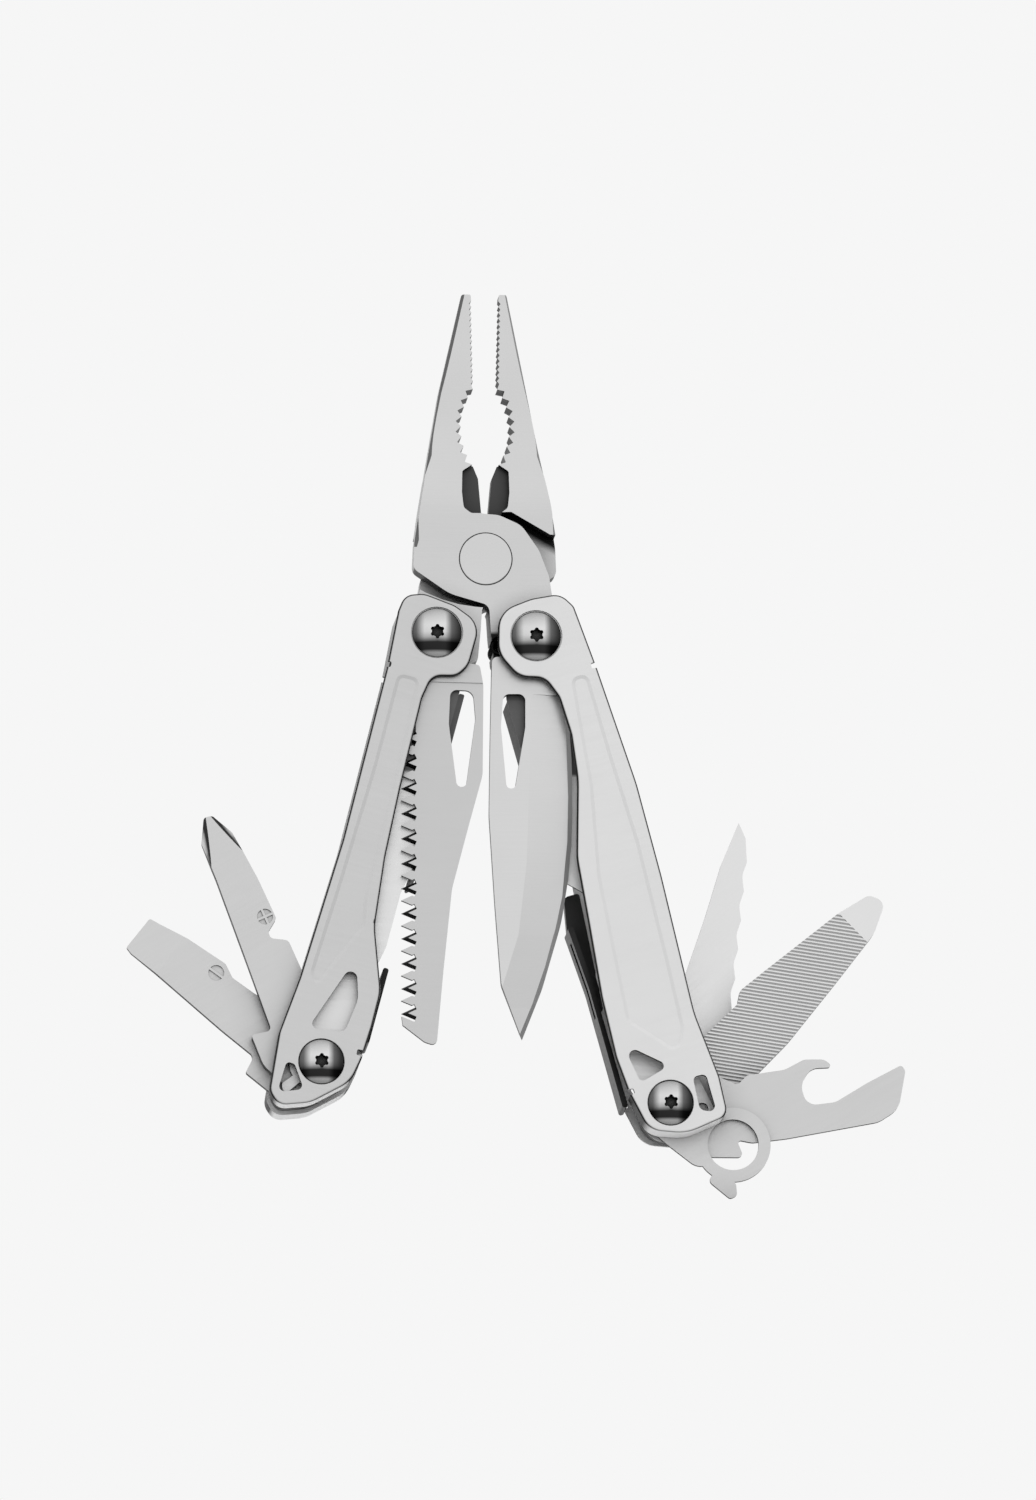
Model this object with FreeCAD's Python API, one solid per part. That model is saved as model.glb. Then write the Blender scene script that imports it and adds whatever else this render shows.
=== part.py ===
import FreeCAD, Part
import math
import os

# Folding multi tool, millimetres.  The origin is the middle of the plier rivet's front face, +Z points
# to the jaw tips and -Y is the front.  The plier is open, the two outside blades hang between the
# handles and the small tools are fanned out of the handle ends.

# ---- driving dimensions ----
LEFT_UPPER = (-9.0, -14.4)          # handle pivots and small-tool pivots, in X and Z
RIGHT_UPPER = (8.5, -14.8)
LEFT_LENGTH = 79.3                  # upper to lower pivot
RIGHT_LENGTH = 86.2
LEFT_ANGLE = -104.8                 # direction of each handle, from +X towards +Z
RIGHT_ANGLE = -74.1

# layers from front to back, as (front y, back y)
FRONT_PLATE = (-6.0, -4.8)
SAW_LAYER = (-4.7, -3.5)
KNIFE_LAYER = (-3.4, -1.4)
LEFT_LINER = (-3.4, -2.4)
RIGHT_LINER = (-1.3, -0.5)
BACK_PLATE = (9.8, 11.0)
PHILLIPS_LAYER = (-2.3, 0.1)
MEDIUM_LAYER = (0.4, 2.0)
SMALL_LAYER = (3.4, 5.0)
RING_LAYER = (-0.35, 0.65)
OPENER_LAYER = (0.7, 1.85)
FILE_LAYER = (3.4, 5.4)
SERRATED_LAYER = (8.1, 9.6)

HEAD_MIDDLE = 4.7                   # middle plane of the plier head
HEAD_HALF = 4.6                     # half the thickness at the joint
LAP_GAP = 0.05                      # between the two halves at the lap joint
RUNNING = 0.05                      # radial clearance of every turning fit
RIVET_RADIUS = 4.7
AXLE_RADIUS = 2.5
UPPER_HEAD_RADIUS = 4.35            # screw heads at the upper pivots
LOWER_HEAD_RADIUS = 4.0
SCREW_HEAD_HEIGHT = 1.5
SEAT_DEPTH = 0.4                    # the screw heads sit this deep in the plates
SHANK_RADIUS = 1.5
UPPER_RING = 4.6                    # washers and screw seats at the upper pivots
LOWER_RING = 4.1                    # screw seats at the lower pivots
LOWER_WASHER = 3.8
PLATE_EDGE = 0.5                    # rounding of the plate edges
PANEL_DEPTH = 0.15                  # of the pressed panels
PANEL_SLOPE = 0.6                   # how far the panel walls lean inwards
RIM = 0.7                           # thickness of the turned-in lower rims
TONGUE_ROOT = 37.0                  # where the lock tongues join their liners, along the handle
CLIP_SCREWS = (15.8, 21.2)          # along the left handle, on its back

# how far each piece stands open from its folded place, degrees
SAW_OPEN = 14.0
KNIFE_OPEN = 17.9
PHILLIPS_OPEN = 39.7
MEDIUM_OPEN = 69.2
SMALL_OPEN = 0.0
RING_OPEN = 141.9
OPENER_OPEN = 98.4
FILE_OPEN = 61.6
SERRATED_OPEN = 29.3


# ---- drawing helpers ----
def direction(angle):
    return (math.cos(math.radians(angle)), math.sin(math.radians(angle)))


class Sketch:
    """Drawing axes in the XZ plane: 'across' a piece towards the inner side, 'along' it from a pivot."""

    def __init__(self, origin, angle, inner_turn):
        self.origin = origin
        self.along = direction(angle)
        self.across = direction(angle + inner_turn)

    def at(self, across, along):
        x = self.origin[0] + across * self.across[0] + along * self.along[0]
        z = self.origin[1] + across * self.across[1] + along * self.along[1]
        return (x, z)


def vector(point, y):
    return FreeCAD.Vector(point[0], y, point[1])


def toward(a, b, distance):
    span = math.dist(a, b)
    return (a[0] + (b[0] - a[0]) * distance / span, a[1] + (b[1] - a[1]) * distance / span)


def outline(points, y):
    """Closed wire through points (u, v) or (u, v, corner radius)."""
    corners = []
    count = len(points)
    for i, p in enumerate(points):
        here, before, after = p[:2], points[i - 1][:2], points[(i + 1) % count][:2]
        if len(p) == 2:
            corners.append((here, here, here))
            continue
        a = math.atan2(before[1] - here[1], before[0] - here[0])
        b = math.atan2(after[1] - here[1], after[0] - here[0])
        half = abs((a - b + math.pi) % (2 * math.pi) - math.pi) / 2
        cut = p[2] / math.tan(half)
        cut = min(cut, 0.49 * math.dist(here, before), 0.49 * math.dist(here, after))
        radius = cut * math.tan(half)
        reach = radius / math.sin(half) - radius
        middle = ((toward(here, before, cut)[0] + toward(here, after, cut)[0]) / 2,
                  (toward(here, before, cut)[1] + toward(here, after, cut)[1]) / 2)
        corners.append((toward(here, before, cut), toward(here, middle, reach), toward(here, after, cut)))
    edges = []
    for i, (start, top, end) in enumerate(corners):
        if math.dist(start, end) > 1e-6:
            edges.append(Part.Arc(vector(start, y), vector(top, y), vector(end, y)).toShape())
        following = corners[(i + 1) % count][0]
        if math.dist(end, following) > 1e-6:
            edges.append(Part.makeLine(vector(end, y), vector(following, y)))
    return Part.Wire(edges)


def slab(points, layer, sketch=None):
    """A plate with this outline, from layer[0] to layer[1] in Y."""
    if sketch:
        points = [sketch.at(p[0], p[1]) + tuple(p[2:]) for p in points]
    face = Part.Face(outline(points, layer[0]))
    return face.extrude(FreeCAD.Vector(0, layer[1] - layer[0], 0))


def disc(centre, radius, layer):
    return Part.makeCylinder(radius, layer[1] - layer[0], vector(centre, layer[0]), FreeCAD.Vector(0, 1, 0))


def washer(centre, outer, inner, layer):
    return disc(centre, outer, layer).cut(disc(centre, inner, layer))


def ease(shape, y, size):
    """Round the edges that lie in the plane y."""
    chosen = []
    for edge in shape.Edges:
        box = edge.BoundBox
        if abs(box.YMin - y) < 1e-4 and abs(box.YMax - y) < 1e-4:
            chosen.append(edge)
    return shape.makeFillet(size, chosen)


def save(name, *shapes):
    solids = []
    for shape in shapes:
        solids.extend(shape.removeSplitter().Solids)
    result = solids[0] if len(solids) == 1 else Part.makeCompound(solids)
    result.exportStep("parts/" + name + ".step")
    print(name, len(solids), round(sum(s.Volume for s in solids), 1), result.isValid())


# ---- handle frames ----
LEFT = Sketch(LEFT_UPPER, LEFT_ANGLE, 90)
RIGHT = Sketch(RIGHT_UPPER, RIGHT_ANGLE, -90)
LEFT_LOWER = LEFT.at(0, LEFT_LENGTH)
RIGHT_LOWER = RIGHT.at(0, RIGHT_LENGTH)


def blade_sketch(side, opened):
    if side == "left":
        return Sketch(LEFT_UPPER, LEFT_ANGLE + opened, 90)
    return Sketch(RIGHT_UPPER, RIGHT_ANGLE - opened, -90)


def tool_sketch(side, opened):
    if side == "left":
        return Sketch(LEFT_LOWER, LEFT_ANGLE + 180 + opened, -90)
    return Sketch(RIGHT_LOWER, RIGHT_ANGLE + 180 - opened, 90)


# ---- plier head ----
def jaw_teeth():
    """Inner edge of one jaw from the tip down: fine teeth, then the round pipe grip."""
    points = []
    tooth, depth, top, bottom = 1.04, 0.4, 46.9, 31.5
    for i in range(int((top - bottom) / tooth) + 1):
        z = top - i * tooth
        points.append((-2.1 - 0.02 * (z - bottom), z))
        points.append((-2.1 - depth - 0.02 * (z - bottom), z - tooth / 2))
    centre, radius, teeth = (7.9, 23.9), 12.2, 8
    start, end = math.radians(145.5), math.radians(213.0)
    for i in range(teeth):
        a = start + (end - start) * i / teeth
        b = start + (end - start) * (i + 0.5) / teeth
        points.append((centre[0] + radius * math.cos(a), centre[1] + radius * math.sin(a)))
        points.append((centre[0] + (radius + 0.95) * math.cos(b), centre[1] + (radius + 0.95) * math.sin(b)))
    return points


# outer edge of each jaw from its tip down to the head, as (across, up)
FRONT_OUTER = [(-4.1, 48.05), (-8.2, 30.0), (-9.95, 19.6), (-12.6, 2.0)]
REAR_OUTER = [(-3.85, 48.05), (-7.35, 30.0), (-9.35, 19.6), (-12.6, 2.0)]


def jaw_outline(arm_pivot, outer):
    """One plier half, drawn with its jaw on the left and its arm reaching to arm_pivot on the right."""
    x, z = arm_pivot
    tip, upper, lower = outer[:3]
    jaw = [tip + (0.4,), (-2.5, tip[1], 0.3)] + jaw_teeth()
    cutter = [(-2.1, 17.0), (-1.2, 14.8), (-0.6, 8.1)]
    boss = [(2.3, 7.9, 4), (6.3, 6.1, 4), (9.4, 1.7, 5), (11.2, -3.0, 5), (11.8, -7.0, 5)]
    arm = [(x + 5.4, z + 1.0, 3), (x + 5.3, z - 5.3, 5.3), (x - 4.6, z - 5.4, 4), (1.4, -18.2, 1.0)]
    back = [(0.9, -13.0, 4), (0.6, -8.3, 1.6), (-6.4, -6.3, 8), (-12.8, -1.9, 1.6), (-12.6, 2.8, 10),
            (-11.5, 10.0, 20), lower + (20,), upper + (20,)]
    return jaw + cutter + boss + arm + back


def head_profile():
    """Side view of the head: full thickness at the joint, thinning in a smooth curve to the jaw tips."""
    sides = []
    for side in (-1, 1):
        shoulder = FreeCAD.Vector(-20, HEAD_MIDDLE + side * HEAD_HALF, 8.0)
        middle = FreeCAD.Vector(-20, HEAD_MIDDLE + side * 3.2, 20.0)
        upper = FreeCAD.Vector(-20, HEAD_MIDDLE + side * 2.6, 30.0)
        tip = FreeCAD.Vector(-20, HEAD_MIDDLE + side * 1.5, 49.0)
        foot = FreeCAD.Vector(-20, HEAD_MIDDLE + side * HEAD_HALF, -24.0)
        curve = Part.BSplineCurve()
        leaving = FreeCAD.Vector(0, 0, 1)
        arriving = FreeCAD.Vector(0, -side * 0.06, 1)
        points = [shoulder, middle, upper, tip]
        curve.interpolate(Points=points, InitialTangent=leaving, FinalTangent=arriving)
        sides.append((foot, shoulder, tip, curve))
    (foot_a, shoulder_a, tip_a, curve_a), (foot_b, shoulder_b, tip_b, curve_b) = sides
    edges = [Part.makeLine(foot_a, shoulder_a), curve_a.toShape(), Part.makeLine(tip_a, tip_b),
             curve_b.toShape(), Part.makeLine(shoulder_b, foot_b), Part.makeLine(foot_b, foot_a)]
    wire = Part.Wire(Part.__sortEdges__(edges))
    return Part.Face(wire).extrude(FreeCAD.Vector(40, 0, 0))


SPRING_CENTRE = (2.5, -15.6)
SPRING_POCKET = 1.8


def plier_half(arm_pivot, outer, bevel):
    """The half whose lap is at the front; its jaw is on the left."""
    full = (HEAD_MIDDLE - HEAD_HALF, HEAD_MIDDLE + HEAD_HALF)
    solid = slab(jaw_outline(arm_pivot, outer), full)
    lapped = [(-14.0, 4.5), (-11.4, 4.5), (-4.5, 8.5), (-0.3, 8.3), (3.0, 9.6), (14.5, 9.6), (14.5, -3.9),
              (10.8, -6.1), (7.6, -7.4), (4.7, -8.2), (1.9, -8.6), (-0.5, -8.8), (-14.0, -8.8)]
    solid = solid.cut(slab(lapped, (HEAD_MIDDLE - LAP_GAP / 2, full[1] + 1)))
    solid = solid.common(head_profile())
    solid = solid.cut(disc((0, 0), RIVET_RADIUS + RUNNING, (full[0] - 1, full[1] + 1)))
    solid = solid.cut(disc(arm_pivot, AXLE_RADIUS + RUNNING, (full[0] - 1, full[1] + 1)))
    pocket = [(-1.9, 17.4), (-4.1, 15.9, 0.6), (-4.2, 12.0), (-3.9, 9.2, 1.0), (-2.6, 8.2, 1), (0.5, 8.2),
              (0.5, 12.0)]
    for layer in ((full[0] - 1, full[0] + 2.6), (full[1] - 2.6, full[1] + 1)):
        solid = solid.cut(slab(pocket, layer))
    return solid.cut(bevel_cutter(outer, bevel))


def bevel_cutter(outer, width):
    """Takes the long outer edge off the jaw, at the front and at the back."""
    heights = (1.5, 2.6, 3.2, HEAD_HALF)
    cutters = []
    for side in (-1, 1):
        sections = []
        for corner, height in zip(outer, heights):
            sections.append(triangle(corner, HEAD_MIDDLE + side * height, side, width))
        for low, high in zip(sections, sections[1:]):
            cutters.append(Part.makeLoft([low, high], True, True))
    return cutters[0].fuse(cutters[1:])


def triangle(corner, y, side, size):
    """Triangle across the outer edge of the jaw at one height."""
    x, z = corner
    points = [(x - 0.5, y - side * size), (x + size, y + side * 0.1), (x - 0.5, y + side * 0.6)]
    loop = [FreeCAD.Vector(a, b, z) for a, b in points + points[:1]]
    return Part.makePolygon(loop)


def mirrored(shape):
    """The rear half is the front half turned over: mirrored in X and about the head's middle plane."""
    turned = shape.mirror(FreeCAD.Vector(0, 0, 0), FreeCAD.Vector(1, 0, 0))
    return turned.mirror(FreeCAD.Vector(0, HEAD_MIDDLE, 0), FreeCAD.Vector(0, 1, 0))


def plier_head():
    full = (HEAD_MIDDLE - HEAD_HALF - 1, HEAD_MIDDLE + HEAD_HALF + 1)
    spring_pocket = disc(SPRING_CENTRE, SPRING_POCKET, full)
    save("front_jaw", plier_half(RIGHT_UPPER, FRONT_OUTER, 0.6).cut(spring_pocket))
    save("rear_jaw", mirrored(plier_half((-LEFT_UPPER[0], LEFT_UPPER[1]), REAR_OUTER, 0.35)))
    ends = (HEAD_MIDDLE - HEAD_HALF - 0.1, HEAD_MIDDLE + HEAD_HALF + 0.1)
    rivet = disc((0, 0), RIVET_RADIUS, ends)
    for y in ends:
        rivet = ease(rivet, y, 0.25)
    save("jaw_rivet", rivet)
    save("jaw_spring", torsion_spring())


def torsion_spring():
    """Coil that sits in the pocket of the front arm and pushes the arms apart."""
    wire, radius, pitch, turns = 0.33, 1.3, 0.8, 10
    start = HEAD_MIDDLE - pitch * turns / 2
    helix = Part.makeHelix(pitch, pitch * turns, radius)
    helix.rotate(FreeCAD.Vector(0, 0, 0), FreeCAD.Vector(1, 0, 0), -90)
    helix.translate(vector(SPRING_CENTRE, start))
    first = helix.Edges[0].Vertexes[0].Point
    profile = Part.Wire(Part.makeCircle(wire, first, FreeCAD.Vector(0, 0, 1)))
    return Part.Wire(helix.Edges).makePipeShell([profile], True, True)


# ---- handles ----
LEFT_OUTLINE = [(-7.6, -2.0, 2), (-7.2, -5.0, 3), (-4.0, -6.2, 4), (1.8, -5.6, 5), (7.0, -3.6, 5),
                (6.9, 4.2, 4),
                (5.4, 6.6, 3), (1.2, 7.7, 2.5), (0.5, 12.0, 4), (0.9, 28.4, 20), (1.5, 41.0, 20),
                (2.9, 53.6, 12), (6.9, 64.5, 8), (7.0, 71.0, 8), (6.7, 77.0, 6), (5.9, 81.5, 6),
                (0.0, 87.0, 6), (-5.2, 88.9, 2.6), (-7.5, 86.8, 2.6), (-8.5, 76.2, 6), (-7.5, 66.0, 20),
                (-6.5, 40.0, 30), (-6.9, 8.5, 10)]
RIGHT_OUTLINE = [(-7.9, -3.4, 2), (-6.2, -6.2, 4), (-1.0, -6.7, 8), (5.2, -6.0, 4.5), (7.4, 1.2, 5),
                 (5.0, 6.2, 4), (0.6, 7.6, 3), (-0.9, 11.6, 4), (-1.1, 18.5, 8), (0.0, 26.5, 20),
                 (4.0, 40.0, 12),
                 (5.2, 52.0, 20), (6.6, 65.0, 20), (7.1, 76.0, 8), (6.6, 82.4, 8), (5.0, 90.0, 4),
                 (-1.2, 92.3, 8),
                 (-9.2, 91.1, 2.2), (-9.6, 84.0, 6), (-8.5, 72.0, 20), (-9.6, 47.0, 30), (-9.9, 30.0, 30),
                 (-8.8, 8.4, 10)]
LEFT_NOTCHES = [[(-6.3, 8.2, 0.3), (-9.0, 8.4), (-9.0, 7.1), (-6.3, 7.2, 0.3)],
                [(5.5, 75.5, 0.3), (8.5, 75.3), (8.5, 76.7), (5.6, 76.5, 0.3)]]
RIGHT_NOTCHES = [[(-7.9, 8.2, 0.3), (-11.0, 8.4), (-11.0, 7.1), (-7.9, 7.2, 0.3)],
                 [(5.6, 82.0, 0.3), (9.0, 81.9), (9.0, 83.2), (5.6, 83.0, 0.3)]]
LEFT_WINDOW = [(-3.8, 74.2, 1.0), (2.6, 73.2, 1.5), (3.4, 67.0, 5), (1.2, 59.8, 1.2)]
LEFT_SLOT = [(-6.1, 86.6, 0.9), (-5.9, 80.9, 1.1), (-4.4, 81.0, 0.8), (-1.7, 84.9, 0.9)]
RIGHT_WINDOW = [(5.3, 73.8, 1.1), (4.1, 81.4, 0.9), (-1.6, 79.8, 0.9)]
RIGHT_SLOT = [(-5.0, 82.8, 0.9), (-4.6, 88.8, 1.3), (-7.4, 90.0, 1.5), (-7.4, 82.9, 0.9)]
LEFT_PANEL = [(-4.8, 8.8, 1.4), (-0.7, 8.8, 1.4), (0.1, 30.0, 20), (0.3, 49.0, 10), (1.3, 54.0, 4),
              (-4.2, 66.9, 1.0), (-6.0, 64.6, 2), (-5.3, 48.0, 20), (-4.7, 26.0, 20)]
RIGHT_PANEL = [(-6.9, 8.8, 1.4), (-3.8, 8.8, 1.4), (-2.6, 20.0, 12), (-1.8, 28.0, 12), (1.4, 44.0, 12),
               (2.4, 56.0, 12), (3.5, 70.4, 2), (-3.8, 78.6, 2.2), (-6.0, 74.0, 5), (-6.6, 62.0, 20),
               (-7.4, 40.0, 30), (-7.0, 24.0, 20)]


def handle_plate(sketch, points, openings, panel, layer, length):
    """Outer plate with its pressed panel, window, lanyard slot, edge notches and screw seats."""
    front = layer[0] < 0
    face_y = layer[0] if front else layer[1]
    inward = 1 if front else -1
    plate = slab(points, layer, sketch)
    plate = ease(plate, face_y, PLATE_EDGE)
    plate = plate.cut(pressed_panel(panel, face_y, inward, sketch))
    for hole in openings:
        plate = plate.cut(slab(hole, (layer[0] - 1, layer[1] + 1), sketch))
    for along, radius in ((0, UPPER_RING), (length, LOWER_RING)):
        centre = sketch.at(0, along)
        seat = sorted((face_y - inward, face_y + inward * SEAT_DEPTH))
        plate = plate.cut(disc(centre, radius, seat))
        plate = plate.cut(disc(centre, SHANK_RADIUS + RUNNING, (layer[0] - 1, layer[1] + 1)))
    return plate


def pressed_panel(points, face_y, inward, sketch):
    """The hollow of a pressed panel: its walls lean inwards down to a flat floor."""
    rim = outline([sketch.at(p[0], p[1]) + tuple(p[2:]) for p in points], face_y)
    floor = rim.makeOffset2D(-PANEL_SLOPE)
    floor.translate(FreeCAD.Vector(0, inward * PANEL_DEPTH, 0))
    hollow = Part.makeLoft([rim, floor], True, True)
    above = Part.Face(rim).extrude(FreeCAD.Vector(0, -inward, 0))
    return hollow.fuse(above)


def lower_rim(sketch, points, layer, low):
    """Thin wall that follows the plate's outline round the handle end, beyond 'low' along the handle."""
    wire = outline([sketch.at(p[0], p[1]) + tuple(p[2:]) for p in points], layer[0])
    outer = Part.Face(wire)
    inner = Part.Face(wire.makeOffset2D(-RIM))
    ring = outer.cut(inner).extrude(FreeCAD.Vector(0, layer[1] - layer[0], 0))
    return ring.common(slab([(-14, low), (14, low), (14, 100), (-14, 100)], layer, sketch))


def liner_points(spine, waist, edge, end, foot):
    """Inner side plate: pivot boss, straight back, waist, and a lower end with its outer corner at foot."""
    return [(-5.0, -5.6, 3), (3.0, -6.0, 3), (5.6, -2.0, 3), (5.6, 4.0, 3), (spine, 8.5, 2),
            (spine, 42.0, 2),
            (waist, 46.0, 3), (waist, 56.0, 3), (spine - 1.6, 60.0, 3), (spine - 1.6, end - 9.0, 5),
            (2.0, end + 4.2, 4), foot, (-6.0, end - 6.0, 8), (-5.2, TONGUE_ROOT + 4, 10),
            (-5.2, TONGUE_ROOT), (-1.8, TONGUE_ROOT), (-1.8, 12.4, 0.5), (-6.4, 12.4, 0.5),
            (edge, 10.0, 0.5), (edge, 5.6, 0.5),
            (-5.4, 3.0, 3)]


def tongue_points():
    """Lock tongue, free at the upper end and rooted at the lower end."""
    root = TONGUE_ROOT - 0.1
    return [(-5.2, 13.0, 0.5), (-2.3, 14.0, 0.5), (-2.3, root - 4.0, 2), (-1.9, root), (-5.2, root)]


def liner(sketch, spine, waist, edge, layer, length, foot):
    plate = slab(liner_points(spine, waist, edge, length, foot), layer, sketch)
    for along in (0, length):
        plate = plate.cut(disc(sketch.at(0, along), AXLE_RADIUS, (layer[0] - 1, layer[1] + 1)))
    return plate


def axles_and_screws(name, sketch, length):
    for place, along, radius in (("upper", 0, UPPER_HEAD_RADIUS), ("lower", length, LOWER_HEAD_RADIUS)):
        axle = disc(sketch.at(0, along), AXLE_RADIUS, (FRONT_PLATE[1], BACK_PLATE[0]))
        axle = axle.cut(disc(sketch.at(0, along), SHANK_RADIUS, (FRONT_PLATE[1], BACK_PLATE[0])))
        save(name + "_" + place + "_axle", axle)
        screws = [screw(sketch.at(0, along), inward, radius) for inward in (1, -1)]
        save(name + "_" + place + "_screws", *screws)


def screw(centre, inward, radius):
    """Domed screw with a six-lobed socket; inward is +1 for the front and -1 for the back."""
    seat = FRONT_PLATE[0] + SEAT_DEPTH if inward > 0 else BACK_PLATE[1] - SEAT_DEPTH
    height = SCREW_HEAD_HEIGHT
    ball = (radius ** 2 + height ** 2) / (2 * height)
    rim = 0.25
    axis = FreeCAD.Vector(0, 1, 0)
    head_layer = sorted((seat, seat - inward * (height + rim)))
    middle = vector(centre, seat - inward * (height + rim - ball))
    head = disc(centre, radius, head_layer).common(Part.makeSphere(ball, middle))
    shank = Part.makeCylinder(SHANK_RADIUS, 5.0, vector(centre, seat), axis * inward)
    socket_start = vector(centre, seat - inward * (height + rim + 0.5))
    socket = Part.makeCylinder(1.0, 1.9, socket_start, axis * inward)
    for i in range(6):
        x, z = direction(30 + 60 * i)
        lobe = FreeCAD.Vector(x * 0.95, 0, z * 0.95)
        socket = socket.fuse(Part.makeCylinder(0.34, 1.9, socket_start + lobe, axis * inward))
    return head.fuse(shank).cut(socket)


def left_handle():
    points, length = LEFT_OUTLINE, LEFT_LENGTH
    openings = [LEFT_WINDOW, LEFT_SLOT] + LEFT_NOTCHES
    front = handle_plate(LEFT, points, openings, LEFT_PANEL, FRONT_PLATE, length)
    rim = lower_rim(LEFT, points, (FRONT_PLATE[1], PHILLIPS_LAYER[0] - 0.1), length - 3.2)
    save("left_front_plate", front.fuse(rim))
    back = handle_plate(LEFT, points, openings, LEFT_PANEL, BACK_PLATE, length)
    rim = lower_rim(LEFT, points, (SMALL_LAYER[1] + 0.1, BACK_PLATE[0]), length - 3.2)
    back = back.fuse(rim)
    for along in CLIP_SCREWS:
        back = back.cut(disc(LEFT.at(0, along), 0.85, (BACK_PLATE[0] - 1, BACK_PLATE[1] + 1)))
    save("left_back_plate", back)
    body = liner(LEFT, 6.6, 5.8, -6.6, LEFT_LINER, length, (-5.0, length + 4.4, 4))
    catch = slab([(-3.2, length + 2.2), (-5.7, length + 5.2, 0.7), (-5.0, length + 6.6, 0.7),
                  (-4.0, length + 6.0, 0.6), (-2.2, length + 3.4)], LEFT_LINER, LEFT)
    save("left_liner", body.fuse(catch))
    save("left_lock_tongue", slab(tongue_points(), LEFT_LINER, LEFT))
    wall = [(6.6, 9.0, 0.3), (7.6, 9.0, 0.3), (7.6, 43.0, 0.3), (6.6, 44.0, 0.3)]
    save("left_spine", slab(wall, (LEFT_LINER[0], BACK_PLATE[0]), LEFT))
    bar = [(6.3, 59.6, 0.4), (7.3, 59.6, 0.4), (7.3, 73.3, 0.4), (6.3, 73.3, 0.4)]
    save("left_back_spring", slab(bar, (LEFT_LINER[1] + 0.05, BACK_PLATE[0] - 0.1), LEFT))
    axles_and_screws("left", LEFT, length)


def right_handle():
    points, length = RIGHT_OUTLINE, RIGHT_LENGTH
    openings = [RIGHT_WINDOW, RIGHT_SLOT] + RIGHT_NOTCHES
    front = handle_plate(RIGHT, points, openings, RIGHT_PANEL, FRONT_PLATE, length)
    rim = lower_rim(RIGHT, points, (FRONT_PLATE[1], RING_LAYER[0] - 0.1), length - 3.2)
    save("right_front_plate", front.fuse(rim))
    back = handle_plate(RIGHT, points, openings, RIGHT_PANEL, BACK_PLATE, length)
    save("right_back_plate", back)
    body = liner(RIGHT, 7.6, 3.6, -8.2, RIGHT_LINER, length, (-8.0, length + 4.0, 1.6))
    catch_hole = disc(RIGHT.at(-5.6, length + 1.9), 1.1, (RIGHT_LINER[0] - 1, RIGHT_LINER[1] + 1))
    save("right_liner", body.cut(catch_hole))
    save("right_lock_tongue", slab(tongue_points(), RIGHT_LINER, RIGHT))
    wall = [(7.0, 9.0, 0.2), (7.6, 9.0, 0.2), (7.6, 43.4, 0.2), (7.0, 44.0, 0.2)]
    save("right_spine", slab(wall, (RIGHT_LINER[1], BACK_PLATE[0]), RIGHT))
    bar = [(7.2, 50.6, 0.4), (8.2, 50.6, 0.4), (7.5, 62.0, 20), (7.6, 84.0, 0.4), (6.6, 84.0, 0.4),
           (6.6, 62.0, 20)]
    web = [(4.0, 44.5, 0.5), (6.8, 44.5, 1.0), (8.0, 51.0, 4), (7.3, 66.0), (5.6, 66.0, 1.0)]
    spring = slab(bar, (RING_LAYER[1] + 0.1, BACK_PLATE[0] - 0.1), RIGHT)
    file_relief = [(5.0, 53.0), (9.0, 53.0), (9.0, 67.0), (5.0, 67.0)]
    spring = spring.cut(slab(file_relief, (FILE_LAYER[0] - 0.1, FILE_LAYER[1] + 0.1), RIGHT))
    save("right_back_spring", spring.fuse(slab(web, (FILE_LAYER[1] + 0.1, SERRATED_LAYER[0] - 0.1), RIGHT)))
    axles_and_screws("right", RIGHT, length)


def pocket_clip():
    """Spring strip on the back of the left handle: screwed pad, raised run, kissing nose and lifted end."""
    back, thick, half_width = BACK_PLATE[1], 0.9, 4.6
    run = [(12.5, back), (24.0, back), (27.5, back + 1.9), (55.0, back + 1.5), (60.5, back + 0.1),
           (65.0, back + 2.0)]
    top = [(d + 0.2, y + thick) for d, y in run]
    loop = [vector(LEFT.at(-half_width, d), y) for d, y in run + top[::-1]]
    wire = Part.makePolygon(loop + loop[:1])
    strip = Part.Face(wire).extrude(vector(LEFT.across, 0) * (2 * half_width))
    outline_cut = slab([(-4.6, 12.4, 3), (4.6, 12.4, 3), (4.6, 30.0, 10), (3.4, 58.0, 10), (3.2, 65.4, 3),
                        (-3.2, 65.4, 3), (-3.4, 58.0, 10), (-4.6, 30.0, 10)], (back - 1, back + 5), LEFT)
    strip = strip.common(outline_cut)
    screws = []
    for along in CLIP_SCREWS:
        centre = LEFT.at(0, along)
        strip = strip.cut(disc(centre, 0.85, (back - 1, back + 3)))
        head = disc(centre, 1.7, (back + thick, back + thick + 0.8))
        head = ease(head, back + thick + 0.8, 0.5).cut(disc(centre, 0.7, (back + thick + 0.3, back + 3)))
        screws.append(head.fuse(disc(centre, 0.8, (back - 0.9, back + thick))))
    save("pocket_clip", strip)
    save("clip_screws", *screws)


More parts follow.
